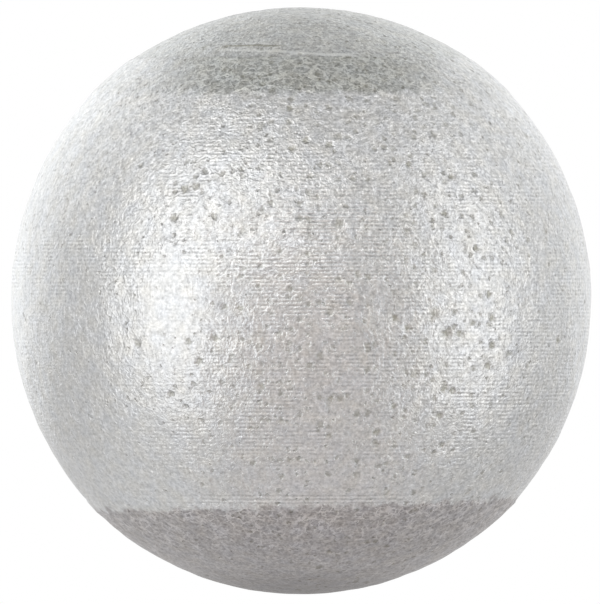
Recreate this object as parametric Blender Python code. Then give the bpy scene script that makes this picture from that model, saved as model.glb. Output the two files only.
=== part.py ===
"""A hollow steel ball with a pitted raw skin, a turned belt round its middle and a turned cap.

The ball is one piece of steel with an even wall. Its raw skin is a plain sphere. A lathe has cut a
belt round the middle and a cap on top, each on an arc a little flatter than the sphere, so that each
cut is deepest half way along and ends in a fine ledge under the raw skin. Shallow pits are left in
the skin, and a small vent at the lower pole opens the hollow. The ball's centre is the origin, and
it was turned about Z.
"""

import math
import random

import bmesh
import bpy
from mathutils import Matrix

MM = 0.001

# Driving dimensions
BALL_DIAMETER = 30.0 * MM
WALL = 2.0 * MM
VENT_DIAMETER = 1.5 * MM
BELT_CUT = 0.235 * MM
BELT_TOP = math.radians(44.1)
BELT_BOTTOM = math.radians(-43.2)
RAW_BAND = math.radians(10.6)
CAP_CUT = 0.11 * MM
EDGE_LEDGE = 0.05 * MM

# Pits that the seen side shows: longitude from the front and latitude, in degrees, and length
SEEN_PITS = (
    (29.5, -6.5, 0.62 * MM),
    (32.5, -6.5, 0.44 * MM),
    (40.5, -3.5, 0.50 * MM),
    (35.5, -4.5, 0.40 * MM),
    (21.0, -5.5, 0.50 * MM),
    (18.5, -3.5, 0.44 * MM),
    (41.0, -9.0, 0.50 * MM),
    (40.5, -13.0, 0.44 * MM),
    (30.5, -17.5, 0.46 * MM),
    (32.5, -18.0, 0.42 * MM),
    (19.5, -21.0, 0.44 * MM),
    (30.5, -23.0, 0.44 * MM),
    (33.0, -29.5, 0.42 * MM),
    (16.5, -26.5, 0.46 * MM),
    (6.0, -19.5, 0.44 * MM),
    (62.5, -8.0, 0.50 * MM),
    (39.5, 1.0, 0.46 * MM),
    (37.0, 10.0, 0.42 * MM),
    (30.5, 17.0, 0.44 * MM),
    (34.0, 24.5, 0.44 * MM),
    (24.0, 27.0, 0.44 * MM),
    (6.5, 31.5, 0.42 * MM),
    (1.0, 32.5, 0.44 * MM),
    (-2.0, 30.5, 0.46 * MM),
    (-3.0, 40.0, 0.42 * MM),
    (-12.0, -1.5, 0.42 * MM),
    (-15.0, -1.5, 0.44 * MM),
    (-17.0, -7.5, 0.46 * MM),
    (-20.5, -12.0, 0.50 * MM),
    (-22.5, -8.0, 0.44 * MM),
    (-27.5, -18.5, 0.42 * MM),
    (-34.0, -8.5, 0.46 * MM),
    (-8.0, -17.0, 0.42 * MM),
    (-26.5, 16.0, 0.46 * MM),
    (-25.0, 22.0, 0.50 * MM),
    (-22.5, 22.5, 0.44 * MM),
    (-37.5, 27.0, 0.42 * MM),
)

# Pits on the rest of the skin, which the seen side doesn't show
UNSEEN_PIT_COUNT = 42
UNSEEN_PIT_SEED = 7
UNSEEN_PIT_LENGTH = (0.40 * MM, 0.56 * MM)
UNSEEN_LONGITUDE = (75.0, 285.0)
UNSEEN_LATITUDE = (-62.0, 62.0)

# A pit's width and depth as shares of its length, and its faces round and from top to bottom
PIT_WIDTH_SHARE = (0.7, 0.9)
PIT_DEPTH_SHARE = 0.22
PIT_SIDES = 8
PIT_RINGS = 4

# How finely the round faces are divided
SEGMENTS_ROUND = 64
SHARP_ANGLE = math.radians(30.0)
OUTER_STEP = math.radians(4.5)
INNER_STEP = math.radians(9.0)

BALL_RADIUS = BALL_DIAMETER / 2
INNER_RADIUS = BALL_RADIUS - WALL
VENT_RADIUS = VENT_DIAMETER / 2
POLE = math.pi / 2
CAP_EDGE = BELT_TOP + RAW_BAND


def turned_radius(latitude, top, bottom, cut):
    """Distance from the ball's centre to a turned arc between two latitudes.

    Half way the arc lies the depth of the cut inside the raw sphere, and at both ends a ledge inside.
    """
    middle = (top + bottom) / 2
    half = (top - bottom) / 2
    end_radius = BALL_RADIUS - EDGE_LEDGE
    half_chord = end_radius * math.sin(half)
    rise = BALL_RADIUS - cut - end_radius * math.cos(half)
    arc_radius = (half_chord**2 + rise**2) / (2 * rise)
    offset = arc_radius + cut - BALL_RADIUS
    away = latitude - middle
    return math.sqrt(arc_radius**2 - (offset * math.sin(away)) ** 2) - offset * math.cos(away)


def cap_radius(latitude):
    """The turned cap, whose arc is centred on the pole."""
    return turned_radius(latitude, math.pi - CAP_EDGE, CAP_EDGE, CAP_CUT)


def raw_radius(_latitude):
    """The raw skin."""
    return BALL_RADIUS


def belt_radius(latitude):
    """The turned belt."""
    return turned_radius(latitude, BELT_TOP, BELT_BOTTOM, BELT_CUT)


# The skin from the top pole to the vent: upper latitude, lower latitude and distance from the centre
SKIN_ZONES = (
    (POLE, CAP_EDGE, cap_radius),
    (CAP_EDGE, BELT_TOP, raw_radius),
    (BELT_TOP, BELT_BOTTOM, belt_radius),
    (BELT_BOTTOM, -math.acos(VENT_RADIUS / BALL_RADIUS), raw_radius),
)


def skin_radius(latitude):
    """Distance from the ball's centre to its skin."""
    return next(radius(latitude) for upper, lower, radius in SKIN_ZONES if lower <= latitude <= upper)


def stretch(first, last, step):
    """Angles from first to last, evenly spaced and no wider apart than the step."""
    count = math.ceil(abs(last - first) / step)
    return [first + (last - first) * i / count for i in range(count + 1)]


def section_point(radius, latitude):
    """The point (distance from the axis, height) that lies this far from the centre."""
    return radius * math.cos(latitude), radius * math.sin(latitude)


def wall_section():
    """Half the wall's section, from the outer top down to the vent and up inside to the inner top.

    Two zones that meet both have a point at their shared latitude, which makes the ledge.
    """
    outer = [
        section_point(radius(latitude), latitude)
        for upper, lower, radius in SKIN_ZONES
        for latitude in stretch(upper, lower, OUTER_STEP)
    ]
    vent_inside = -math.acos(VENT_RADIUS / INNER_RADIUS)
    inner = [section_point(INNER_RADIUS, latitude) for latitude in stretch(vent_inside, POLE, INNER_STEP)]
    return outer + inner


def turned_shell():
    """The wall's section, spun round the axis into one closed shell."""
    shape = bmesh.new()
    points = [shape.verts.new((across, 0.0, height)) for across, height in wall_section()]
    edges = [shape.edges.new(pair) for pair in zip(points, points[1:])]
    bmesh.ops.spin(
        shape,
        geom=points + edges,
        axis=(0.0, 0.0, 1.0),
        angle=math.tau,
        steps=SEGMENTS_ROUND,
        use_merge=True,
    )
    bmesh.ops.remove_doubles(shape, verts=shape.verts, dist=0.001 * MM)
    bmesh.ops.recalc_face_normals(shape, faces=shape.faces)
    mesh = bpy.data.meshes.new("hollow_ball")
    shape.to_mesh(mesh)
    shape.free()
    mesh.shade_smooth()
    mesh.set_sharp_from_angle(angle=SHARP_ANGLE)
    return mesh


def pit_places():
    """Longitude, latitude and length of every pit."""
    chance = random.Random(UNSEEN_PIT_SEED)
    low, high = (math.sin(math.radians(a)) for a in UNSEEN_LATITUDE)
    places = list(SEEN_PITS)
    for _ in range(UNSEEN_PIT_COUNT):
        longitude = chance.uniform(*UNSEEN_LONGITUDE)
        latitude = math.degrees(math.asin(chance.uniform(low, high)))
        places.append((longitude, latitude, chance.uniform(*UNSEEN_PIT_LENGTH)))
    return places


def pit_seat(longitude, latitude):
    """The frame of a pit on the skin, with X straight out of the ball. The front faces -Y."""
    turn = Matrix.Rotation(longitude - POLE, 4, "Z") @ Matrix.Rotation(-latitude, 4, "Y")
    return turn @ Matrix.Translation((skin_radius(latitude), 0.0, 0.0))


def pit_cutters():
    """Flat ellipsoids seated on the skin, one for each pit, each leaning its own way."""
    chance = random.Random(UNSEEN_PIT_SEED)
    shape = bmesh.new()
    for longitude, latitude, length in pit_places():
        width = length * chance.uniform(*PIT_WIDTH_SHARE)
        lean = Matrix.Rotation(chance.uniform(0.0, math.pi), 4, "X")
        size = Matrix.Diagonal((length * PIT_DEPTH_SHARE, length / 2, width / 2, 1.0))
        seat = pit_seat(math.radians(longitude), math.radians(latitude)) @ lean @ size
        upright = Matrix.Rotation(POLE, 4, "Y")
        bmesh.ops.create_uvsphere(
            shape, u_segments=PIT_SIDES, v_segments=PIT_RINGS, radius=1.0, matrix=seat @ upright
        )
    mesh = bpy.data.meshes.new("pit_cutters")
    shape.to_mesh(mesh)
    shape.free()
    cutters = bpy.data.objects.new("pit_cutters", mesh)
    cutters.hide_render = True
    cutters.display_type = "WIRE"
    bpy.context.scene.collection.objects.link(cutters)
    return cutters


def steel_material():
    """Bare mild steel, pale grey and dull."""
    material = bpy.data.materials.new("bare_steel")
    material.use_nodes = True
    shader = material.node_tree.nodes["Principled BSDF"]
    shader.inputs["Base Color"].default_value = (0.55, 0.54, 0.53, 1.0)
    shader.inputs["Metallic"].default_value = 1.0
    shader.inputs["Roughness"].default_value = 0.42
    return material


def hollow_ball():
    """The shell with its pits cut."""
    ball = bpy.data.objects.new("hollow_ball", turned_shell())
    ball.data.materials.append(steel_material())
    bpy.context.scene.collection.objects.link(ball)
    pits = ball.modifiers.new("pits", "BOOLEAN")
    pits.operation = "DIFFERENCE"
    pits.solver = "EXACT"
    pits.object = pit_cutters()


def build():
    for old in list(bpy.data.objects):
        bpy.data.objects.remove(old)
    hollow_ball()


build()
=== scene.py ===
"""The looks of the hollow steel ball: its skin, its finish, the floor, the lamps and the camera.

The ball is turned about Z and its front faces -Y. Longitude is measured from the front towards +X,
and latitude from the middle towards the top. Lengths are in metres and angles in radians, unless a
name says otherwise.
"""

import math

import bpy
import numpy as np
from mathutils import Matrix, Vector

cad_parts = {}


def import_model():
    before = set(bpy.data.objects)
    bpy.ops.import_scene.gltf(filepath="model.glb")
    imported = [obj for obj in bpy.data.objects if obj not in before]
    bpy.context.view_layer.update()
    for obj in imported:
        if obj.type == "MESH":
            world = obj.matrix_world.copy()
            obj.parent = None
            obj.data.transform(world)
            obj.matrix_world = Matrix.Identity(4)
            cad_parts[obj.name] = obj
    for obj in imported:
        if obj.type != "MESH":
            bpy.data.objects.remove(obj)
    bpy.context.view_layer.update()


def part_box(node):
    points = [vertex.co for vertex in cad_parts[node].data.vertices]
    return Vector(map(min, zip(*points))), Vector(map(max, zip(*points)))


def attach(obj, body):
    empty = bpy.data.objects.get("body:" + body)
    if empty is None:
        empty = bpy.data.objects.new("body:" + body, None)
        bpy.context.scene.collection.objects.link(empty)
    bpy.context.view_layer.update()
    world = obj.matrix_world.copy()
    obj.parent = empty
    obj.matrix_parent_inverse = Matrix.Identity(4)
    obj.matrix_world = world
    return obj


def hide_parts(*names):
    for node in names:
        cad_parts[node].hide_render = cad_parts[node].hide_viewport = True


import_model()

MM = 0.001
BALL = "hollow_ball"

# The turned cuts and the wall, as the solid has them
WALL = 2.0 * MM
VENT_RADIUS = 0.75 * MM
BELT_CUT = 0.235 * MM
BELT_TOP = math.radians(44.1)
BELT_BOTTOM = math.radians(-43.2)
CAP_EDGE = math.radians(54.7)
CAP_CUT = 0.11 * MM
EDGE_LEDGE = 0.05 * MM
POLE = math.pi / 2

lowest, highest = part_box(BALL)
BALL_RADIUS = (highest.x - lowest.x) / 2 + BELT_CUT
INNER_RADIUS = BALL_RADIUS - WALL
BALL_DIAMETER = 2 * BALL_RADIUS
BELT_HEAD = BALL_RADIUS * math.sin(BELT_TOP)
BELT_FOOT = BALL_RADIUS * math.sin(BELT_BOTTOM)
CAP_FOOT = BALL_RADIUS * math.sin(CAP_EDGE)

# How finely the skin is divided, and how far its rows keep off the top pole, the cap's edge, the
# belt's top, the belt's foot and the vent
COLUMNS = 432
OUTER_ROW = math.radians(0.86)
LEDGE_LEAN = (0.0, math.radians(0.1), math.radians(0.9), math.radians(0.25), 0.0)
INNER_ROWS = 16

# The skin's unevenness, by the height and length of its waves, how many there are and their seed,
# and the angles over which it fades away towards the top pole and the vent
SKIN_WAVES = (
    (0.006 * MM, 0.9 * MM, 60, 3),
    (0.010 * MM, 2.6 * MM, 40, 4),
)
TOP_FADE = 0.1
VENT_FADE = 0.2

# The larger pits of the seen side: longitude and latitude in degrees, and length
SEEN_PITS = (
    (29.5, -6.5, 0.62 * MM),
    (32.5, -6.5, 0.44 * MM),
    (40.5, -3.5, 0.50 * MM),
    (35.5, -4.5, 0.40 * MM),
    (21.0, -5.5, 0.50 * MM),
    (18.5, -3.5, 0.44 * MM),
    (41.0, -9.0, 0.50 * MM),
    (40.5, -13.0, 0.44 * MM),
    (30.5, -17.5, 0.46 * MM),
    (32.5, -18.0, 0.42 * MM),
    (19.5, -21.0, 0.44 * MM),
    (30.5, -23.0, 0.44 * MM),
    (33.0, -29.5, 0.42 * MM),
    (16.5, -26.5, 0.46 * MM),
    (6.0, -19.5, 0.44 * MM),
    (62.5, -8.0, 0.50 * MM),
    (39.5, 1.0, 0.46 * MM),
    (37.0, 10.0, 0.42 * MM),
    (30.5, 17.0, 0.44 * MM),
    (34.0, 24.5, 0.44 * MM),
    (24.0, 27.0, 0.44 * MM),
    (6.5, 31.5, 0.42 * MM),
    (1.0, 32.5, 0.44 * MM),
    (-2.0, 30.5, 0.46 * MM),
    (-3.0, 40.0, 0.42 * MM),
    (-12.0, -1.5, 0.42 * MM),
    (-15.0, -1.5, 0.44 * MM),
    (-17.0, -7.5, 0.46 * MM),
    (-20.5, -12.0, 0.50 * MM),
    (-22.5, -8.0, 0.44 * MM),
    (-27.5, -18.5, 0.42 * MM),
    (-34.0, -8.5, 0.46 * MM),
    (-8.0, -17.0, 0.42 * MM),
    (-26.5, 16.0, 0.46 * MM),
    (-25.0, 22.0, 0.50 * MM),
    (-22.5, 22.5, 0.44 * MM),
    (-37.5, 27.0, 0.42 * MM),
)

# A large pit's depth as a share of its length, and how far it reaches in the mesh in radii
PIT_DEPTH_SHARE = 0.2
PIT_REACH = 1.3

# Small pits scattered between them: how far apart they lie, the luck below which one is left out,
# and the largest radius
SCATTERED_PITS = (
    (0.95 * MM, 0.42, 0.31 * MM),
    (0.48 * MM, 0.0, 0.23 * MM),
)

# A pit's shape in radii: its level middle, where the bowls of the large and the small ones end, and
# how far the lip reaches in and out from there and how soft it is
PIT_MIDDLE = 0.3
LARGE_BOWL = 1.15
SMALL_BOWL = 1.25
LIP_INWARD = 0.1
LIP_OUTWARD = 0.25
LIP_SOFTNESS = 0.3

# How much of the large pits' dust the small ones hold, the radius of a pit that is left out, as a
# share of the pits' spacing, and a distance in radii that is farther than every pit
SMALL_PIT_DUST = 0.55
NO_PIT = 0.001
FAR = 1000.0

# A patch that is worn smooth: its middle, the radii where it begins and ends to fade, and how much
# of the roughness is left in it
WORN_LONGITUDE = math.radians(-25.3)
WORN_LATITUDE = math.radians(-1.2)
WORN_CORE = 1.0 * MM
WORN_EDGE = 3.6 * MM
WORN_ROUGHNESS = 0.5

# The raw band above the belt: its foot, how ragged and how soft its edges are, where it begins and
# ends to fade to both sides, and how much of it is left there. The fade is painted light: it stands
# in for the side light that brightens the raw skin towards both sides. The noise that makes an edge
# ragged brings it down by half the raggedness on average
BAND_FOOT = BELT_HEAD + 0.52 * MM
BAND_RAGGEDNESS = 1.1 * MM
BAND_FOOT_SOFTNESS = 0.5 * MM
BAND_TOP_SOFTNESS = 0.05 * MM
BAND_DARK_HALF = 3.8 * MM
BAND_SIDE_LIT_HALF = 8.4 * MM
BAND_SIDE_LIT_SHARE = 0.2

# The raw lower cap: its edge, how ragged and how soft that is, and how much it rises to the right
LOWER_EDGE = BELT_FOOT + 0.4 * MM
LOWER_RAGGEDNESS = 1.0 * MM
LOWER_SOFTNESS = 0.3 * MM
LOWER_RISE = 0.03

# The rings of the finish cut: how far apart they are by its feed, how far they sway in radians, the
# heights between which the left side shows them, and the heights above the belt's foot and the
# places across between which the last ones are bright
RING_PITCH = 0.19 * MM
RING_SWAY = 4.0
LEFT_RINGS = (0.3 * MM, 3.2 * MM)
LEFT_RING_SOFTNESS = 1.5 * MM
LAST_RINGS = (0.02 * MM, 0.5 * MM)
LAST_RING_SOFTNESS = 0.1 * MM
LAST_RING_ENDS = (-5.2 * MM, 4.6 * MM)
LAST_RING_END_SOFTNESS = 2.0 * MM
LAST_RING_LEAST = 0.25
LAST_RING_STRENGTH = 1.1

# The marks on the cap's front: each one's slope, its lower and upper side above the cap's foot, how
# soft they are, and its left and right end
CAP_MARKS = {
    # A painted highlight along the cap's ledge, where it catches the light from above
    "ledge_highlight": (0.05, 0.25 * MM, 0.35 * MM, 0.1 * MM, -4.2 * MM, 2.6 * MM),
    "groove": (0.0, 0.66 * MM, 0.74 * MM, 0.08 * MM, -3.8 * MM, -1.0 * MM),
    "edge": (0.0, 0.80 * MM, 0.90 * MM, 0.1 * MM, -4.0 * MM, -1.4 * MM),
}
MARK_SWAY = 0.3 * MM
MARK_END_SOFTNESS = 1.0 * MM

# How large the grain of each pattern is. Steel has finer specks, glints and scuffs still, and these
# are drawn as coarse as they need to be to show
PEEL_GRAIN = 0.32 * MM
FINE_GRAIN = 0.17 * MM
SPECK_GRAIN = 0.22 * MM
GLINT_GRAIN = 0.16 * MM
SCUFF_GRAIN = 0.15 * MM
DIMPLE_GRAIN = 0.55 * MM
EDGE_GRAIN = 0.5 * MM
SWAY_GRAIN = 1.2 * MM

# How large the patches are in which a pattern is strong
RING_PATCH = 2.4 * MM
RING_GAP = 0.45 * MM
DIMPLE_PATCH = 0.9 * MM
SCUFF_PATCH = 1.8 * MM
GLINT_PATCH = 2.0 * MM
TINT_PATCH = 0.8 * MM
INNER_PATCH = 1.5 * MM

# How each pattern's strength follows its noise: the noise's values where a ramp begins and ends, and
# the strengths there, which are 0 and 1 where they aren't given. The rims' ramp follows the distance
# from a dimple's edge instead, as a share of the dimples' size
RING_CLEARNESS = {"From Min": 0.38, "From Max": 0.58, "To Min": 0.2, "To Max": 1.2}
RING_BREAKS = {"From Min": 0.35, "From Max": 0.6, "To Max": 1.3}
RIM_WIDTH = {"From Min": 0.02, "From Max": 0.14, "To Min": 1.0, "To Max": 0.0}
RIM_CLEARNESS = {"From Min": 0.35, "From Max": 0.6, "To Min": 0.25, "To Max": 1.2}
SCUFF_SPOTS = {"From Min": 0.58, "From Max": 0.75}
SCUFF_CLEARNESS = {"From Min": 0.5, "From Max": 0.62}
GLINT_SPOTS = {"From Min": 0.58, "From Max": 0.7}
GLINT_CLEARNESS = {"From Min": 0.35, "From Max": 0.6}
TINT_SPREAD = {"From Min": 0.3, "From Max": 0.7}

# The grain of the noise that makes round things ragged, and how far it pushes them
PIT_RAGGEDNESS = (0.2 * MM, 0.3 * MM)
DIMPLE_RAGGEDNESS = (0.28 * MM, 0.5 * MM)

# The value that every noise lies round, and how many times longer than wide the scuffs are
NOISE_MIDDLE = 0.5
SCUFF_STRETCH = 5.0

# Fades: an axis, two places along it, and the share at the first and at the second
SMALL_PIT_FADES = (
    ("X", -8.0 * MM, -1.0 * MM, 0.5, 1.0),
    ("X", 4.0 * MM, 12.0 * MM, 1.0, 0.6),
    ("Z", -9.0 * MM, -5.0 * MM, 0.8, 1.0),
    ("Z", 11.0 * MM, 13.0 * MM, 1.0, 0.7),
)
RING_FADES = (
    ("Z", -9.4 * MM, -6.5 * MM, 0.2, 1.0),
    ("Z", 5.0 * MM, 9.5 * MM, 1.0, 0.4),
)
LEFT_RING_FADE = ("X", -8.5 * MM, -5.0 * MM, 0.3, 1.0)
RIGHT_RING_FADE = ("X", 10.0 * MM, 13.0 * MM, 1.0, 0.8)
BELT_RIM_FADE = ("Z", 4.0 * MM, 9.0 * MM, 0.1, 0.45)
LOWER_RIM_FADE = ("Z", -13.0 * MM, -10.5 * MM, 0.4, 1.0)
RELIEF_FADE = ("Z", 1.0 * MM, 4.0 * MM, 0.75, 1.0)
UPPER_HALF_FADE = ("Z", -1.0 * MM, 1.0 * MM, 0.0, 1.0)
# Painted shade at the ball's very bottom
UNDERSIDE_SHADE_FADE = ("Z", -15.0 * MM, -13.5 * MM, 0.8, 0.0)
DUST_FADE = ("X", -9.0 * MM, 0.0, 0.28, 0.4)
FRONT_FADE = ("Y", -6.0 * MM, -5.0 * MM, 1.0, 0.0)

# Fades aslant, from the lower left to the upper right: how much X counts beside Z, and then as above
SPECK_FADE = (0.7, -10.0 * MM, 4.0 * MM, 0.75, 1.05)
# The painted glints come in along this slant
GLINT_FADE = (1.2, -6.0 * MM, 2.0 * MM, 0.2, 1.0)

# How high each part of the finish stands, in millimetres, and how far each of these is drawn
HEIGHTS = {
    "peel": 0.05,
    "grain": 0.022,
    "ring": 0.005,
    "rim": 0.02,
    "scuff": 0.01,
    "bowl": -0.03,
    "lip": 0.006,
}
RELIEF_SCALE = 1.3 * MM

# How much paler each part is than the steel round it, and the tones at which the steel is darkest and
# palest
TONES = {
    # The rings' tone is painted shade in their grooves and painted highlight on their crests, so that they
    # show under even light
    "ring": 0.09,
    "rim": 0.28,
    "scuff": 0.1,
    # The glints' paleness is painted highlight
    "glint": 0.36,
    # The lips' paleness is painted highlight round the pits
    "lip": 0.04,
    "bowl": -0.2,
    # The ledge's paleness is painted highlight
    "ledge_highlight": 0.35,
    "groove": -0.35,
    "edge": 0.15,
}
DARKEST_TONE = 0.2
PALEST_TONE = 0.8

# Each steel's colour at its darkest and palest, the colours of what lies on it, and the colour of the
# shade painted on the ball's very bottom
TURNED_STEEL = ("8d8d8d", "cbcbcb")
LOWER_RAW_STEEL = ("676464", "b0adad")
UPPER_RAW_STEEL = ("666765", "afb0ad")
INNER_STEEL = ("5c5853", "8a847c")
TINTS = ("fbfcfe", "fefcf8")
# Painted shade: the ball's very bottom is darkened towards this colour, where its underside turns from the
# light
UNDERSIDE_SHADE = "5e5a5a"
DUST = "908d7b"
PAPER = "f2f2f0"

# How much of the raw skin's dullness the cap has, how soft that ends at its edge, and how much dust
# lies in its groove
CAP_DULLNESS = 0.7
CAP_EDGE_SOFTNESS = 0.06 * MM
GROOVE_DUST = 0.5

# Roughness of the turned and the raw skin, what a pit adds to it, and that of the hollow
TURNED_ROUGHNESS = 0.38
RAW_ROUGHNESS = 0.5
PIT_ROUGHNESS = 0.12
INNER_ROUGHNESS = 0.6

# Where the Mix node takes its two colours, and where it gives the mixed one
FIRST, SECOND, MIXED = 6, 7, 2

# The lamps' colours, as shares of red, green and blue
WHITE = (1.0, 1.0, 1.0)
NEARLY_WHITE = (0.96, 0.98, 0.99)
COOL = (0.94, 0.975, 1.0)
WARM = (1.0, 0.3, 0.0)
PINK = (1.0, 0.45, 0.4)

# The lamps: name, azimuth from the front towards +X and elevation in degrees, width, height, power in
# watts and colour, and how far they all stand from the ball
LAMPS = (
    ("left_lamp", -54, 5, 0.30, 0.75, 1.07, NEARLY_WHITE),
    ("upper_left_lamp", -42, 42, 0.15, 0.15, 0.1, NEARLY_WHITE),
    ("right_lamp", 74, 6, 0.25, 0.7, 0.74, NEARLY_WHITE),
    ("front_lamp", -4, 31, 0.12, 0.11, 0.175, WHITE),
    ("warm_fill", 4, -15, 0.38, 0.4, 0.055, WARM),
    ("warm_low_fill", 20, -75, 0.35, 0.3, 0.035, PINK),
    ("rear_left_lamp", -141, 20, 0.36, 0.45, 0.51, COOL),
    ("rear_top_lamp", 178, 22, 0.3, 0.12, 0.05, COOL),
    ("rear_right_lamp", 142, 23, 0.4, 0.5, 0.34, COOL),
    ("low_left_card", -112, -50, 0.4, 0.3, 0.09, COOL),
)
LAMP_DISTANCE = 0.4

# The floor: how far below the ball's centre it lies, and its sides
FLOOR_DROP = 0.65
FLOOR_SIDE = 4.0

# The camera: a long lens level with the ball
PHOTO_WIDTH = 600
PHOTO_HEIGHT = 604
PHOTO_BALL_CENTRE = (301.1, 299.7)
PHOTO_BALL_RADIUS = 294.5
CAMERA_DISTANCE = 0.6
SENSOR = 36.0


def linear(hex_colour):
    """An sRGB hex colour such as "c8c6c2" as linear red, green, blue and alpha."""
    parts = [int(hex_colour[i : i + 2], 16) / 255 for i in (0, 2, 4)]
    return tuple(c / 12.92 if c <= 0.04045 else ((c + 0.055) / 1.055) ** 2.4 for c in parts) + (1.0,)


def turned_radius(latitude, top, bottom, cut):
    """A turned arc between two latitudes, a cut inside the raw sphere half way and a ledge at its ends.

    With a the arc's radius and q how far its centre lies behind the ball's, the distance from the
    ball's centre at an angle d off the middle is sqrt(a^2 - (q sin d)^2) - q cos d.
    """
    middle = (top + bottom) / 2
    half = (top - bottom) / 2
    end_radius = BALL_RADIUS - EDGE_LEDGE
    half_chord = end_radius * math.sin(half)
    rise = BALL_RADIUS - cut - end_radius * math.cos(half)
    arc_radius = (half_chord**2 + rise**2) / (2 * rise)
    offset = arc_radius + cut - BALL_RADIUS
    away = latitude - middle
    return np.sqrt(arc_radius**2 - (offset * np.sin(away)) ** 2) - offset * np.cos(away)


def skin_radius(latitude):
    """The ball's own radius by latitude: the turned cap, the raw band, the belt and the raw bottom."""
    cap = turned_radius(latitude, math.pi - CAP_EDGE, CAP_EDGE, CAP_CUT)
    belt = turned_radius(latitude, BELT_TOP, BELT_BOTTOM, BELT_CUT)
    on_belt = (latitude < BELT_TOP) & (latitude > BELT_BOTTOM)
    return np.where(latitude > CAP_EDGE, cap, np.where(on_belt, belt, BALL_RADIUS))


def directions(longitude, latitude):
    """Unit vectors from the ball's centre, with longitude 0 facing -Y: the cosine of the latitude
    times the sine and minus the cosine of the longitude, and the sine of the latitude."""
    longitude, latitude = np.broadcast_arrays(longitude, latitude)
    level = np.cos(latitude)
    return np.stack([level * np.sin(longitude), -level * np.cos(longitude), np.sin(latitude)], axis=-1)


def waviness(points, wavelength, waves, seed):
    """A smooth random height of about unit size: the sum of plane waves of one length, each with
    its own direction and phase, over the root of half their number."""
    chance = np.random.default_rng(seed)
    ways = chance.normal(size=(waves, 3))
    ways *= (2 * math.pi / wavelength) / np.linalg.norm(ways, axis=1, keepdims=True)
    phases = chance.uniform(0, 2 * math.pi, waves)
    total = np.zeros(points.shape[:-1])
    for way, phase in zip(ways, phases):
        total += np.sin(points @ way + phase)
    return total / math.sqrt(waves / 2)


def pit_centres():
    """Where each large pit is on the skin, and its radius."""
    longitude, latitude, length = (np.array(column) for column in zip(*SEEN_PITS))
    latitude = np.radians(latitude)
    centres = directions(np.radians(longitude), latitude) * skin_radius(latitude)[:, None]
    return centres, length / 2


def pit_depth(points):
    """How deep the large pits are: for each, its depth times (1 - (d / r)^2)^2 out to its reach r."""
    depth = np.zeros(points.shape[:-1])
    for centre, radius in zip(*pit_centres()):
        near = np.clip(1 - ((points - centre) ** 2).sum(-1) / (PIT_REACH * radius) ** 2, 0, 1)
        depth += 2 * radius * PIT_DEPTH_SHARE * near**2
    return depth


def latitude_rows():
    """Latitudes of the skin's rows from the top pole to the vent, evenly spaced, with a close pair at
    each ledge."""
    vent = -math.acos(VENT_RADIUS / BALL_RADIUS)
    corners = (POLE - OUTER_ROW, CAP_EDGE, BELT_TOP, BELT_BOTTOM, vent)
    starts = [corner - lean for corner, lean in zip(corners, LEDGE_LEAN)]
    ends = [corner + lean for corner, lean in zip(corners[1:], LEDGE_LEAN[1:])]
    rows = [
        np.linspace(start, end, math.ceil((start - end) / OUTER_ROW)) for start, end in zip(starts, ends)
    ]
    return np.concatenate(rows)


def ring_mesh(name, rings, first_pole, last_pole):
    """A closed shell from rings of points, rings x columns x 3, with a point at each end."""
    count, columns, _ = rings.shape
    points = np.vstack([[first_pole], rings.reshape(-1, 3), [last_pole]])
    here = 1 + np.arange(count * columns).reshape(count, columns)
    beside = np.roll(here, -1, axis=1)
    quads = np.stack([here[:-1], here[1:], beside[1:], beside[:-1]], axis=-1).reshape(-1, 4)
    start = np.stack([np.zeros(columns, int), here[0], beside[0]], axis=-1)
    end = np.stack([np.full(columns, len(points) - 1), beside[-1], here[-1]], axis=-1)
    mesh = bpy.data.meshes.new(name)
    mesh.from_pydata(points, [], start.tolist() + quads.tolist() + end.tolist())
    mesh.validate()
    mesh.shade_smooth()
    return mesh


def ball_skin():
    """The whole wall as one closed shell: the skin down to the vent, the vent and the hollow.

    The skin's distance from the centre is its radius by latitude plus the waves less the pits' depth,
    both faded away towards the top pole and the vent. The hollow is a plain sphere.
    """
    longitude = np.linspace(0, 2 * math.pi, COLUMNS, endpoint=False)
    rows = latitude_rows()
    unit = directions(longitude[None, :], rows[:, None])
    smooth = unit * skin_radius(rows)[:, None, None]
    fade = np.clip((rows + POLE) / VENT_FADE, 0, 1) * np.clip((POLE - rows) / TOP_FADE, 0, 1)
    relief = sum(height * waviness(smooth, *waves) for height, *waves in SKIN_WAVES)
    relief = fade[:, None] * (relief - pit_depth(smooth))
    outer = unit * (skin_radius(rows)[:, None] + relief)[..., None]
    inner_rows = np.linspace(-math.acos(VENT_RADIUS / INNER_RADIUS), POLE, INNER_ROWS, endpoint=False)
    inner = directions(longitude[None, :], inner_rows[:, None]) * INNER_RADIUS
    top = (0.0, 0.0, float(skin_radius(np.array(POLE))))
    mesh = ring_mesh("ball_skin", np.concatenate([outer, inner]), top, (0.0, 0.0, INNER_RADIUS))
    skin = bpy.data.objects.new("ball_skin", mesh)
    bpy.context.scene.collection.objects.link(skin)
    return skin


def add(tree, kind, inputs=None, **settings):
    """Adds a node. Settings are its own choices, and inputs gives each socket a value or a link."""
    new = tree.nodes.new("ShaderNode" + kind)
    for name, value in settings.items():
        setattr(new, name, value)
    for socket, value in (inputs or {}).items():
        if isinstance(value, bpy.types.NodeSocket):
            tree.links.new(value, new.inputs[socket])
        else:
            new.inputs[socket].default_value = value
    return new.outputs


def new_material(name):
    """An empty material and its node tree."""
    material = bpy.data.materials.new(name)
    material.use_nodes = True
    material.node_tree.nodes.clear()
    return material, material.node_tree


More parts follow.
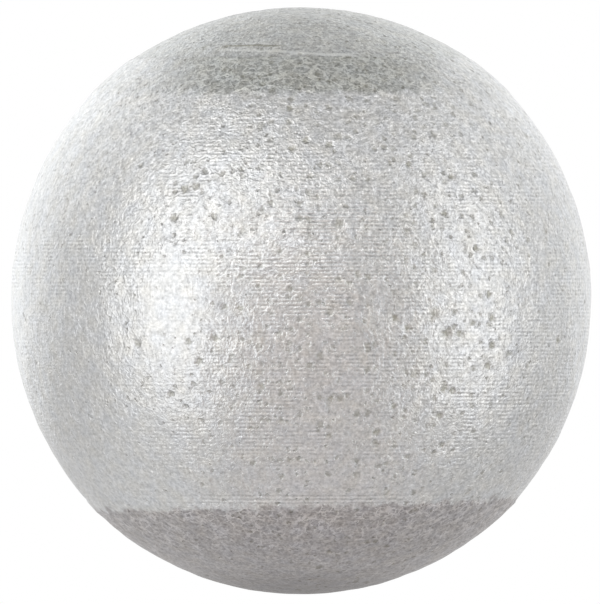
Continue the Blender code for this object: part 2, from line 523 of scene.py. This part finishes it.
def stretch_of(tree, value, low, high, edge):
    """1 where the value lies between low and high and 0 outside, with soft edges this wide."""
    rise = {"Value": value, "From Min": low - edge / 2, "From Max": low + edge / 2}
    fall = {"Value": value, "From Min": high - edge / 2, "From Max": high + edge / 2}
    above = add(tree, "MapRange", rise, interpolation_type="SMOOTHSTEP")["Result"]
    beyond = add(tree, "MapRange", fall, interpolation_type="SMOOTHSTEP")["Result"]
    return add(tree, "Math", {0: above, 1: beyond}, operation="SUBTRACT")["Value"]


def shares_along(tree, axes, fades, interpolation="LINEAR"):
    """The product of some fades. Each goes from its first share to its second between two places
    along an axis, and stays at them beyond."""
    product = 1.0
    for axis, start, end, first, second in fades:
        share = {"Value": axes[axis], "From Min": start, "From Max": end, "To Min": first, "To Max": second}
        share = add(tree, "MapRange", share, interpolation_type=interpolation)["Result"]
        product = add(tree, "Math", {0: product, 1: share}, operation="MULTIPLY")["Value"]
    return product


def share_aslant(tree, axes, slant, start, end, first, second):
    """A share that goes from the first to the second from the lower left to the upper right, between
    two values of slant times X plus Z."""
    across = add(tree, "Math", {0: axes["X"], 1: slant, 2: axes["Z"]}, operation="MULTIPLY_ADD")["Value"]
    share = {"Value": across, "From Min": start, "From Max": end, "To Min": first, "To Max": second}
    return add(tree, "MapRange", share)["Result"]


def product_of(tree, shares):
    """All the shares multiplied."""
    product = 1.0
    for share in shares:
        product = add(tree, "Math", {0: product, 1: share}, operation="MULTIPLY")["Value"]
    return product


def sum_of(tree, parts, shares, start):
    """The start plus each part times its share."""
    total = start
    for name, share in shares.items():
        total = add(tree, "Math", {0: parts[name], 1: share, 2: total}, operation="MULTIPLY_ADD")["Value"]
    return total


def raw_shares(tree, place, axes):
    """How raw the skin is, in the upper band and in the lower cap. The band's foot and the lower
    cap's edge are ragged, the band fades away to both sides as painted light for the side light that
    brightens it there, and the lower cap's edge rises a little from left to right."""
    wobble = add(tree, "TexNoise", {"Vector": place, "Scale": 1 / EDGE_GRAIN, "Detail": 2.0})["Fac"]
    ragged = {0: wobble, 1: BAND_RAGGEDNESS, 2: axes["Z"]}
    ragged = add(tree, "Math", ragged, operation="MULTIPLY_ADD")["Value"]
    above = stretch_of(tree, ragged, BAND_FOOT, BALL_DIAMETER, BAND_FOOT_SOFTNESS)
    below = stretch_of(tree, axes["Z"], 0.0, CAP_FOOT, BAND_TOP_SOFTNESS)
    across = add(tree, "Math", {0: axes["X"]}, operation="ABSOLUTE")["Value"]
    # Painted light: the band's darkness fades towards both sides, where the side light brightens it
    middle = {"Value": across, "From Min": BAND_DARK_HALF, "From Max": BAND_SIDE_LIT_HALF}
    middle |= {"To Min": 1.0, "To Max": BAND_SIDE_LIT_SHARE}
    middle = add(tree, "MapRange", middle, interpolation_type="SMOOTHSTEP")["Result"]
    upper = product_of(tree, (above, below, middle))

    edge = {0: axes["X"], 1: -LOWER_RISE, 2: axes["Z"]}
    edge = add(tree, "Math", edge, operation="MULTIPLY_ADD")["Value"]
    edge = {0: wobble, 1: LOWER_RAGGEDNESS, 2: edge}
    edge = add(tree, "Math", edge, operation="MULTIPLY_ADD")["Value"]
    return upper, stretch_of(tree, edge, -BALL_DIAMETER, LOWER_EDGE, LOWER_SOFTNESS)


def ragged_place(tree, place, grain, shift):
    """The place pushed about by noise, so that round things measured from it turn out ragged."""
    wobble = add(tree, "TexNoise", {"Vector": place, "Scale": 1 / grain, "Detail": 1.0})["Color"]
    push = add(tree, "VectorMath", {0: wobble, 1: (NOISE_MIDDLE,) * 3}, operation="SUBTRACT")["Vector"]
    push = add(tree, "VectorMath", {0: push, "Scale": shift}, operation="SCALE")["Vector"]
    return add(tree, "VectorMath", {0: place, 1: push}, operation="ADD")["Vector"]


def large_pits(tree, place):
    """Distance to the middle of a large pit over its radius, the least of all of them."""
    nearest = FAR
    for centre, radius in zip(*pit_centres()):
        away = add(tree, "VectorMath", {0: place, 1: tuple(centre)}, operation="DISTANCE")["Value"]
        away = add(tree, "Math", {0: away, 1: float(radius)}, operation="DIVIDE")["Value"]
        nearest = add(tree, "Math", {0: nearest, 1: away}, operation="MINIMUM")["Value"]
    return nearest


def small_pits(tree, place):
    """Distance to the middle of a scattered pit over its radius, the least of all of them. In each
    set the pits lie about one spacing apart, and those with too little luck are left out."""
    nearest = FAR
    for spacing, least_luck, largest in SCATTERED_PITS:
        cells = add(tree, "TexVoronoi", {"Vector": place, "Scale": 1 / spacing}, feature="F1")
        luck = add(tree, "SeparateColor", {0: cells["Color"]})[0]
        radius = {"Value": luck, "From Min": least_luck, "From Max": 1.0, "To Max": largest / spacing}
        radius = add(tree, "MapRange", radius)["Result"]
        radius = add(tree, "Math", {0: radius, 1: NO_PIT}, operation="ADD")["Value"]
        away = add(tree, "Math", {0: cells["Distance"], 1: radius}, operation="DIVIDE")["Value"]
        nearest = add(tree, "Math", {0: nearest, 1: away}, operation="MINIMUM")["Value"]
    return nearest


def bowl_and_lip(tree, nearness, reach):
    """A soft bowl, 1 in the middle and 0 at this reach, and the low lip round it."""
    bowl = {"Value": nearness, "From Min": PIT_MIDDLE, "From Max": reach, "To Min": 1.0, "To Max": 0.0}
    bowl = add(tree, "MapRange", bowl, interpolation_type="SMOOTHSTEP")["Result"]
    return bowl, stretch_of(tree, nearness, reach - LIP_INWARD, reach + LIP_OUTWARD, LIP_SOFTNESS)


def worn_share(tree, place):
    """How much of the roughness is left: all of it, but for a smooth patch on the left."""
    middle = directions(WORN_LONGITUDE, WORN_LATITUDE) * BALL_RADIUS
    away = add(tree, "VectorMath", {0: place, 1: tuple(middle)}, operation="DISTANCE")["Value"]
    left = {"Value": away, "From Min": WORN_CORE, "From Max": WORN_EDGE, "To Min": WORN_ROUGHNESS}
    return add(tree, "MapRange", left, interpolation_type="SMOOTHSTEP")["Result"]


def pit_shapes(tree, place, axes, worn):
    """Bowls, dust and lips of the large pits, and of the smaller ones scattered between them. The
    scattered pits are smaller on both sides, towards the belt's foot, on the cap and in the worn
    patch."""
    ragged = ragged_place(tree, place, *PIT_RAGGEDNESS)
    large_bowl, large_lip = bowl_and_lip(tree, large_pits(tree, ragged), LARGE_BOWL)
    small = small_pits(tree, ragged)
    for size in (shares_along(tree, axes, SMALL_PIT_FADES), worn):
        small = add(tree, "Math", {0: small, 1: size}, operation="DIVIDE")["Value"]
    small_bowl, small_lip = bowl_and_lip(tree, small, SMALL_BOWL)
    dusty = add(tree, "Math", {0: small_bowl, 1: SMALL_PIT_DUST}, operation="MULTIPLY")["Value"]
    return [
        add(tree, "Math", {0: one, 1: other}, operation="MAXIMUM")["Value"]
        for one, other in ((large_bowl, small_bowl), (large_bowl, dusty), (large_lip, small_lip))
    ]


def turning_rings(tree, place, axes):
    """The rings that the finish cut left, from -1 in a groove to 1: the sine of the height over the
    rings' pitch, swayed by noise. They are clear in patches round the middle and along the belt's
    foot, and faint towards the belt's top. On the far left only those a little above the middle are
    clear."""
    turns = {0: axes["Z"], 1: 2 * math.pi / RING_PITCH}
    turns = add(tree, "Math", turns, operation="MULTIPLY")["Value"]
    sway = add(tree, "TexNoise", {"Vector": place, "Scale": 1 / SWAY_GRAIN, "Detail": 2.0})["Fac"]
    turns = add(tree, "Math", {0: sway, 1: RING_SWAY, 2: turns}, operation="MULTIPLY_ADD")["Value"]
    ring = add(tree, "Math", {0: turns}, operation="SINE")["Value"]

    patches = {"Vector": place, "Scale": 1 / RING_PATCH, "Detail": 2.0, "Roughness": 0.6}
    patches = add(tree, "TexNoise", patches)["Fac"]
    clear = {"Value": patches, **RING_CLEARNESS}
    clear = add(tree, "MapRange", clear, interpolation_type="SMOOTHSTEP")["Result"]
    gaps = add(tree, "TexNoise", {"Vector": place, "Scale": 1 / RING_GAP, "Detail": 1.0})["Fac"]
    gaps = add(tree, "MapRange", {"Value": gaps, **RING_BREAKS})["Result"]
    ends = shares_along(tree, axes, RING_FADES, "SMOOTHSTEP")
    left = shares_along(tree, axes, (LEFT_RING_FADE,), "SMOOTHSTEP")
    kept = stretch_of(tree, axes["Z"], *LEFT_RINGS, LEFT_RING_SOFTNESS)
    left = add(tree, "Math", {0: left, 1: kept}, operation="MAXIMUM")["Value"]
    right = shares_along(tree, axes, (RIGHT_RING_FADE,))
    most = product_of(tree, (ring, clear, gaps, ends, left, right))

    lowest_ring, highest_ring = (BELT_FOOT + height for height in LAST_RINGS)
    last = stretch_of(tree, axes["Z"], lowest_ring, highest_ring, LAST_RING_SOFTNESS)
    length = stretch_of(tree, axes["X"], *LAST_RING_ENDS, LAST_RING_END_SOFTNESS)
    length = add(tree, "Math", {0: length, 1: LAST_RING_LEAST}, operation="MAXIMUM")["Value"]
    last = product_of(tree, (ring, last, length))
    return add(tree, "Math", {0: last, 1: LAST_RING_STRENGTH, 2: most}, operation="MULTIPLY_ADD")["Value"]


def cap_marks(tree, place, axes):
    """A pale line that rises from the cap's foot, a painted highlight where the ledge there catches the
    light from above, and the short groove above it with its raised upper edge, all on the front."""
    front = shares_along(tree, axes, (FRONT_FADE,))
    wobble = add(tree, "TexNoise", {"Vector": place, "Scale": 1 / SWAY_GRAIN, "Detail": 1.0})["Fac"]
    swayed = {0: wobble, 1: MARK_SWAY, 2: axes["Z"]}
    swayed = add(tree, "Math", swayed, operation="MULTIPLY_ADD")["Value"]
    marks = {}
    for name, (slope, lower, upper, softness, left, right) in CAP_MARKS.items():
        height = {0: axes["X"], 1: slope, 2: swayed}
        height = add(tree, "Math", height, operation="MULTIPLY_ADD")["Value"]
        mark = stretch_of(tree, height, CAP_FOOT + lower, CAP_FOOT + upper, softness)
        length = stretch_of(tree, axes["X"], left, right, MARK_END_SOFTNESS)
        marks[name] = product_of(tree, (mark, length, front))
    return marks


def dimple_rims(tree, place, axes, upper_raw, lower_raw):
    """The pale rims where the dimples of the raw skin meet. Some are left on the belt too, most of
    them towards its top, and they are fainter near the bottom of the ball."""
    ragged = ragged_place(tree, place, *DIMPLE_RAGGEDNESS)
    edge = {"Vector": ragged, "Scale": 1 / DIMPLE_GRAIN}
    edge = add(tree, "TexVoronoi", edge, feature="DISTANCE_TO_EDGE")["Distance"]
    rim = {"Value": edge, **RIM_WIDTH}
    rim = add(tree, "MapRange", rim, interpolation_type="SMOOTHSTEP")["Result"]
    patches = add(tree, "TexNoise", {"Vector": place, "Scale": 1 / DIMPLE_PATCH, "Detail": 1.0})["Fac"]
    patches = add(tree, "MapRange", {"Value": patches, **RIM_CLEARNESS})["Result"]
    belt = shares_along(tree, axes, (BELT_RIM_FADE,))
    lower = product_of(tree, (lower_raw, shares_along(tree, axes, (LOWER_RIM_FADE,))))
    raw = add(tree, "Math", {0: upper_raw, 1: lower}, operation="MAXIMUM")["Value"]
    most = add(tree, "Math", {0: belt, 1: raw}, operation="MAXIMUM")["Value"]
    return product_of(tree, (rim, patches, most))


def upright_scuffs(tree, place):
    """Short pale scuffs that run up and down, in a few patches."""
    drawn_out = {0: place, 1: (1.0, 1.0, 1 / SCUFF_STRETCH)}
    drawn_out = add(tree, "VectorMath", drawn_out, operation="MULTIPLY")["Vector"]
    scuff = add(tree, "TexNoise", {"Vector": drawn_out, "Scale": 1 / SCUFF_GRAIN, "Detail": 0.0})["Fac"]
    scuff = {"Value": scuff, **SCUFF_SPOTS}
    scuff = add(tree, "MapRange", scuff, interpolation_type="SMOOTHSTEP")["Result"]
    patches = add(tree, "TexNoise", {"Vector": place, "Scale": 1 / SCUFF_PATCH, "Detail": 1.0})["Fac"]
    patches = {"Value": patches, **SCUFF_CLEARNESS}
    patches = add(tree, "MapRange", patches, interpolation_type="SMOOTHSTEP")["Result"]
    return product_of(tree, (scuff, patches))


def painted_glints(tree, place, axes):
    """Painted glints: tiny pale spots in the steel's colour that stand in for highlights, in patches, most
    of them on the belt's upper middle and right.
    """
    spots = add(tree, "TexNoise", {"Vector": place, "Scale": 1 / GLINT_GRAIN, "Detail": 1.0})["Fac"]
    spots = {"Value": spots, **GLINT_SPOTS}
    spots = add(tree, "MapRange", spots, interpolation_type="SMOOTHSTEP")["Result"]
    patches = add(tree, "TexNoise", {"Vector": place, "Scale": 1 / GLINT_PATCH, "Detail": 2.0})["Fac"]
    patches = add(tree, "MapRange", {"Value": patches, **GLINT_CLEARNESS})["Result"]
    return product_of(tree, (spots, patches, share_aslant(tree, axes, *GLINT_FADE)))


def steel_relief(tree, place, axes, parts, worn):
    """The surface's direction under worm-like unevenness about 0.3 mm across, a finer grain and the
    parts of the finish. All of it is lower in the lower half and in the worn patch."""
    peel = {"Vector": place, "Scale": 1 / PEEL_GRAIN, "Detail": 1.0, "Roughness": 0.7, "Distortion": 0.9}
    peel = add(tree, "TexNoise", peel)["Fac"]
    grain = {"Vector": place, "Scale": 1 / FINE_GRAIN, "Detail": 1.6, "Roughness": 1.0, "Distortion": 0.4}
    grain = add(tree, "TexNoise", grain)["Fac"]
    height = sum_of(tree, {**parts, "peel": peel, "grain": grain}, HEIGHTS, 0.0)
    strength = product_of(tree, (shares_along(tree, axes, (RELIEF_FADE,)), worn))
    return add(tree, "Bump", {"Height": height, "Distance": RELIEF_SCALE, "Strength": strength})["Normal"]


def steel_tone(tree, place, axes, parts):
    """How pale the steel is, from 0 to 1: specks of equal strength from 0.22 mm down to 0.1 mm, partly the
    steel's own mottle and partly painted shade and glints in its grain, which are least at the lower
    left, and what each part of the finish adds."""
    specks = {"Vector": place, "Scale": 1 / SPECK_GRAIN, "Detail": 1.5, "Roughness": 1.0}
    specks = add(tree, "TexNoise", specks)["Fac"]
    specks = add(tree, "Math", {0: specks, 1: NOISE_MIDDLE}, operation="SUBTRACT")["Value"]
    specks = {0: specks, 1: share_aslant(tree, axes, *SPECK_FADE), 2: NOISE_MIDDLE}
    specks = add(tree, "Math", specks, operation="MULTIPLY_ADD")["Value"]
    tone = sum_of(tree, parts, TONES, specks)
    tone = {"Value": tone, "From Min": DARKEST_TONE, "From Max": PALEST_TONE}
    return add(tree, "MapRange", tone)["Result"]


def steel_colour(tree, place, axes, tone, raw):
    """The steel's colour: pale where it was turned, duller on the cap, dark where it is raw, with painted
    shade at the very bottom, and in faint cool and warm patches all over."""
    steels = []
    for dark, light in (TURNED_STEEL, LOWER_RAW_STEEL, UPPER_RAW_STEEL):
        steel = {"Factor": tone, FIRST: linear(dark), SECOND: linear(light)}
        steels.append(add(tree, "Mix", steel, data_type="RGBA")[MIXED])
    pale, lower_dark, upper_dark = steels
    upper_half = shares_along(tree, axes, (UPPER_HALF_FADE,))
    dark = {"Factor": upper_half, FIRST: lower_dark, SECOND: upper_dark}
    dark = add(tree, "Mix", dark, data_type="RGBA")[MIXED]
    duller = stretch_of(tree, axes["Z"], CAP_FOOT, BALL_DIAMETER, CAP_EDGE_SOFTNESS)
    duller = add(tree, "Math", {0: duller, 1: CAP_DULLNESS}, operation="MULTIPLY")["Value"]
    duller = add(tree, "Math", {0: duller, 1: raw}, operation="MAXIMUM")["Value"]
    colour = {"Factor": duller, FIRST: pale, SECOND: dark}
    colour = add(tree, "Mix", colour, data_type="RGBA")[MIXED]
    # Painted shade on the very bottom of the ball
    underside_shade = shares_along(tree, axes, (UNDERSIDE_SHADE_FADE,))
    colour = {"Factor": underside_shade, FIRST: colour, SECOND: linear(UNDERSIDE_SHADE)}
    colour = add(tree, "Mix", colour, data_type="RGBA")[MIXED]

    patches = add(tree, "TexNoise", {"Vector": place, "Scale": 1 / TINT_PATCH, "Detail": 3.0})["Fac"]
    patches = add(tree, "MapRange", {"Value": patches, **TINT_SPREAD})["Result"]
    cool, warm = (linear(tint) for tint in TINTS)
    tint = add(tree, "Mix", {"Factor": patches, FIRST: cool, SECOND: warm}, data_type="RGBA")[MIXED]
    colour = {"Factor": 1.0, FIRST: colour, SECOND: tint}
    return add(tree, "Mix", colour, data_type="RGBA", blend_type="MULTIPLY")[MIXED]


def bare_steel():
    """Bare mild steel, pale where it was turned and darker, duller and warmer where its skin is raw.

    What gives it its look is worm-like unevenness with painted glints, fine rings from the finish cut
    whose tone is painted shade and highlight, dimples with pale rims and pits that hold a tan dust.
    """
    material, tree = new_material("bare_mild_steel")
    place = add(tree, "TexCoord")["Object"]
    axes = add(tree, "SeparateXYZ", {0: place})
    upper_raw, lower_raw = raw_shares(tree, place, axes)
    raw = add(tree, "Math", {0: upper_raw, 1: lower_raw}, operation="MAXIMUM")["Value"]
    turned = add(tree, "Math", {0: 1.0, 1: raw}, operation="SUBTRACT")["Value"]
    worn = worn_share(tree, place)
    bowl, dusty, lip = pit_shapes(tree, place, axes, worn)
    parts = {
        # The rings' relief is real; their tone is painted shade in the grooves and painted highlight on the
        # crests
        "ring": product_of(tree, (turning_rings(tree, place, axes), turned, worn)),
        "rim": dimple_rims(tree, place, axes, upper_raw, lower_raw),
        "scuff": upright_scuffs(tree, place),
        "glint": painted_glints(tree, place, axes),
        "bowl": bowl,
        "lip": lip,
    }
    parts |= cap_marks(tree, place, axes)
    tone = steel_tone(tree, place, axes, parts)
    colour = steel_colour(tree, place, axes, tone, raw)

    # The tan dust in the pits and in the cap's groove
    dust = product_of(tree, (dusty, shares_along(tree, axes, (DUST_FADE,))))
    dust = {0: parts["groove"], 1: GROOVE_DUST, 2: dust}
    dust = add(tree, "Math", dust, operation="MULTIPLY_ADD")["Value"]
    colour = {"Factor": dust, FIRST: colour, SECOND: linear(DUST)}
    colour = add(tree, "Mix", colour, data_type="RGBA")[MIXED]

    roughness = {"Value": raw, "To Min": TURNED_ROUGHNESS, "To Max": RAW_ROUGHNESS}
    roughness = add(tree, "MapRange", roughness)["Result"]
    roughness = {0: bowl, 1: PIT_ROUGHNESS, 2: roughness}
    roughness = add(tree, "Math", roughness, operation="MULTIPLY_ADD")["Value"]
    metal = {"Base Color": colour, "Metallic": 1.0, "Roughness": roughness}
    metal["Normal"] = steel_relief(tree, place, axes, parts, worn)
    shader = add(tree, "BsdfPrincipled", metal)["BSDF"]
    add(tree, "OutputMaterial", {"Surface": shader})
    return material


def inner_steel():
    """The inside of the wall: dark, dull and never worked, in soft patches."""
    material, tree = new_material("unworked_inner_steel")
    place = add(tree, "TexCoord")["Object"]
    patches = add(tree, "TexNoise", {"Vector": place, "Scale": 1 / INNER_PATCH, "Detail": 4.0})["Fac"]
    dark, light = (linear(colour) for colour in INNER_STEEL)
    colour = add(tree, "Mix", {"Factor": patches, FIRST: dark, SECOND: light}, data_type="RGBA")[MIXED]
    metal = {"Base Color": colour, "Metallic": 1.0, "Roughness": INNER_ROUGHNESS}
    shader = add(tree, "BsdfPrincipled", metal)["BSDF"]
    add(tree, "OutputMaterial", {"Surface": shader})
    return material


def finish_skin(skin):
    """Gives the skin and the hollow their own steel, by how far each face's middle is from the centre."""
    for material in (bare_steel(), inner_steel()):
        skin.data.materials.append(material)
    middles = np.zeros(len(skin.data.polygons) * 3)
    skin.data.polygons.foreach_get("center", middles)
    away = np.linalg.norm(middles.reshape(-1, 3), axis=1)
    skin.data.polygons.foreach_set("material_index", (away < BALL_RADIUS - WALL / 2).astype(np.int32))


def world():
    """An even white surround, which is also the background."""
    surround = bpy.data.worlds.new("white_surround")
    surround.use_nodes = True
    tree = surround.node_tree
    tree.nodes.clear()
    light = add(tree, "Background", {"Color": (*WHITE, 1.0), "Strength": 1.0})["Background"]
    add(tree, "OutputWorld", {"Surface": light})
    bpy.context.scene.world = surround


def floor():
    """A plain pale floor. It lies far below, because the ball is held at its mount and the photo
    shows no shadow. The camera and the steel see it as white as the surround."""
    half = FLOOR_SIDE / 2
    corners = [(x, y, -FLOOR_DROP) for x, y in ((-half, -half), (half, -half), (half, half), (-half, half))]
    mesh = bpy.data.meshes.new("floor")
    mesh.from_pydata(corners, [], [(0, 1, 2, 3)])
    material, tree = new_material("white_paper")
    ray = add(tree, "LightPath")
    seen = {0: ray["Is Camera Ray"], 1: ray["Is Glossy Ray"]}
    seen = add(tree, "Math", seen, operation="MAXIMUM")["Value"]
    paper = add(tree, "BsdfDiffuse", {"Color": linear(PAPER)})["BSDF"]
    white = add(tree, "Emission", {"Color": (*WHITE, 1.0), "Strength": 1.0})["Emission"]
    surface = add(tree, "MixShader", {0: seen, 1: paper, 2: white})["Shader"]
    add(tree, "OutputMaterial", {"Surface": surface})
    material.cycles.emission_sampling = "NONE"
    mesh.materials.append(material)
    sheet = bpy.data.objects.new("floor", mesh)
    bpy.context.scene.collection.objects.link(sheet)
    return sheet


def lamp(name, azimuth, elevation, width, height, power, colour):
    """A soft lamp that faces the ball, azimuth from the front towards +X and elevation in degrees."""
    light = bpy.data.lights.new(name, "AREA")
    light.shape = "RECTANGLE"
    light.size = width
    light.size_y = height
    light.energy = power
    light.color = colour
    holder = bpy.data.objects.new(name, light)
    away = Vector(directions(math.radians(azimuth), math.radians(elevation)))
    holder.location = away * LAMP_DISTANCE
    holder.rotation_euler = away.to_track_quat("Z", "Y").to_euler()
    holder.visible_camera = False
    bpy.context.scene.collection.objects.link(holder)


def camera():
    """A long lens, level with the ball, set so that the ball fills the frame as it does in the photo."""
    lens = bpy.data.cameras.new("camera")
    lens.sensor_width = SENSOR
    far = math.sqrt(CAMERA_DISTANCE**2 - BALL_RADIUS**2)
    lens.lens = SENSOR / PHOTO_HEIGHT * PHOTO_BALL_RADIUS * far / BALL_RADIUS
    lens.clip_start = 0.01
    lens.clip_end = 10.0
    pixel = BALL_RADIUS / PHOTO_BALL_RADIUS
    holder = bpy.data.objects.new("camera", lens)
    across = (PHOTO_WIDTH / 2 - PHOTO_BALL_CENTRE[0]) * pixel
    up = (PHOTO_BALL_CENTRE[1] - PHOTO_HEIGHT / 2) * pixel
    holder.location = (across, -CAMERA_DISTANCE, up)
    holder.rotation_euler = (POLE, 0.0, 0.0)
    bpy.context.scene.collection.objects.link(holder)
    bpy.context.scene.camera = holder


skin = ball_skin()
finish_skin(skin)
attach(skin, "root")
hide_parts(BALL)

world()
floor()
for settings in LAMPS:
    lamp(*settings)
camera()
bpy.context.scene.view_settings.view_transform = "Standard"
